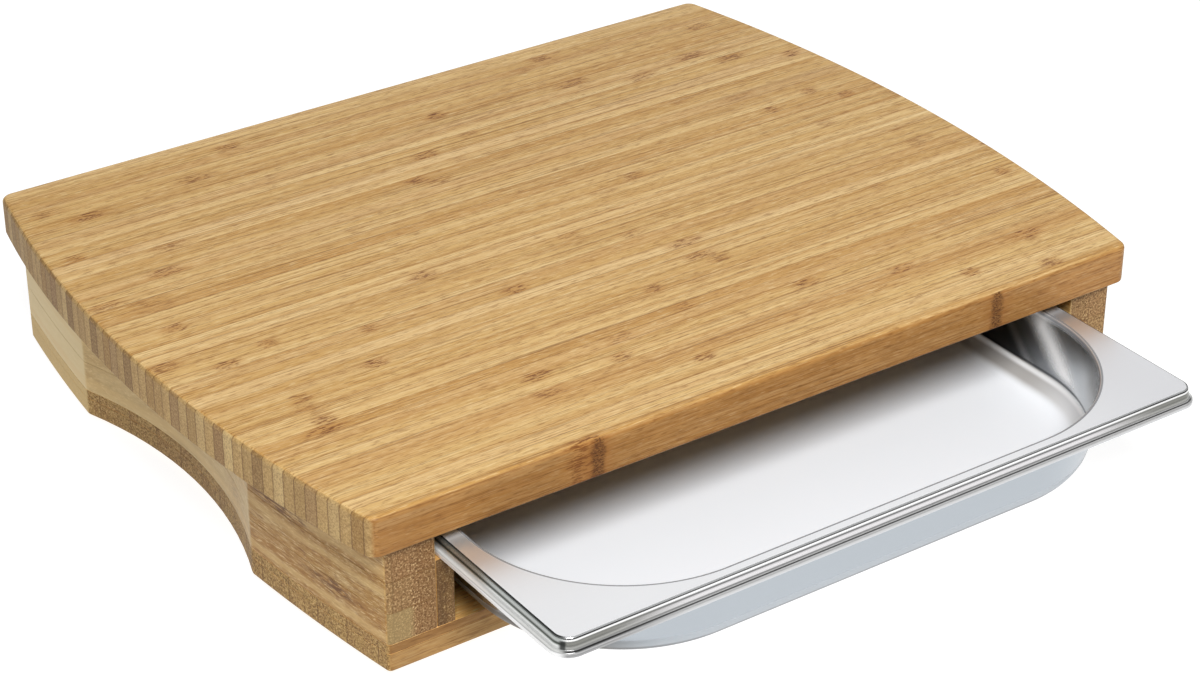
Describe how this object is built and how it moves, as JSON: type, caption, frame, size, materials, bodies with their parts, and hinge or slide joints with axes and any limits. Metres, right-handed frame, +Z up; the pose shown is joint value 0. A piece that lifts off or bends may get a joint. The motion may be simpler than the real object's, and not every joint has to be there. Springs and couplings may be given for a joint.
{
  "type": "cutting board with drawer tray",
  "caption": "Bamboo cutting board on side blocks with finger hollows, over a bay from which a stainless steel tray with a stepped rim slides out at the front.",
  "frame": {"origin": "middle of the whole footprint with the tray drawn out as at rest, on the surface that the feet stand on", "axes": "+X to the right as seen from the open front, +Y from the open front to the back, +Z up"},
  "size_m": [0.424, 0.4078, 0.0769],
  "materials": {
    "bamboo": "oiled",
    "dowel_wood": "plain",
    "tray_steel": "satin inside, polished rim",
    "screw_steel": "plated",
    "rubber": "matte"
  },
  "bodies": {
    "base": {"back_rail": "bamboo", "base_panel_lower": "bamboo", "base_panel_upper": "bamboo", "dowels": "dowel_wood", "foot_back_left": "rubber", "foot_back_right": "rubber", "foot_front_left": "rubber", "foot_front_right": "rubber", "foot_screws": "screw_steel", "left_block_lower": "bamboo", "left_block_middle": "bamboo", "left_block_upper": "bamboo", "left_runner": "bamboo", "left_stop": "bamboo", "right_block_lower": "bamboo", "right_block_middle": "bamboo", "right_block_upper": "bamboo", "right_runner": "bamboo", "right_stop": "bamboo", "top_board": "bamboo"},
    "tray": {"tray": "tray_steel"}
  },
  "joints": [
    {"name": "tray_slide", "type": "slide", "parent": "base", "child": "tray", "axis": [0, -1, 0], "range_m": [-0.0834, 0.16]}
  ]
}
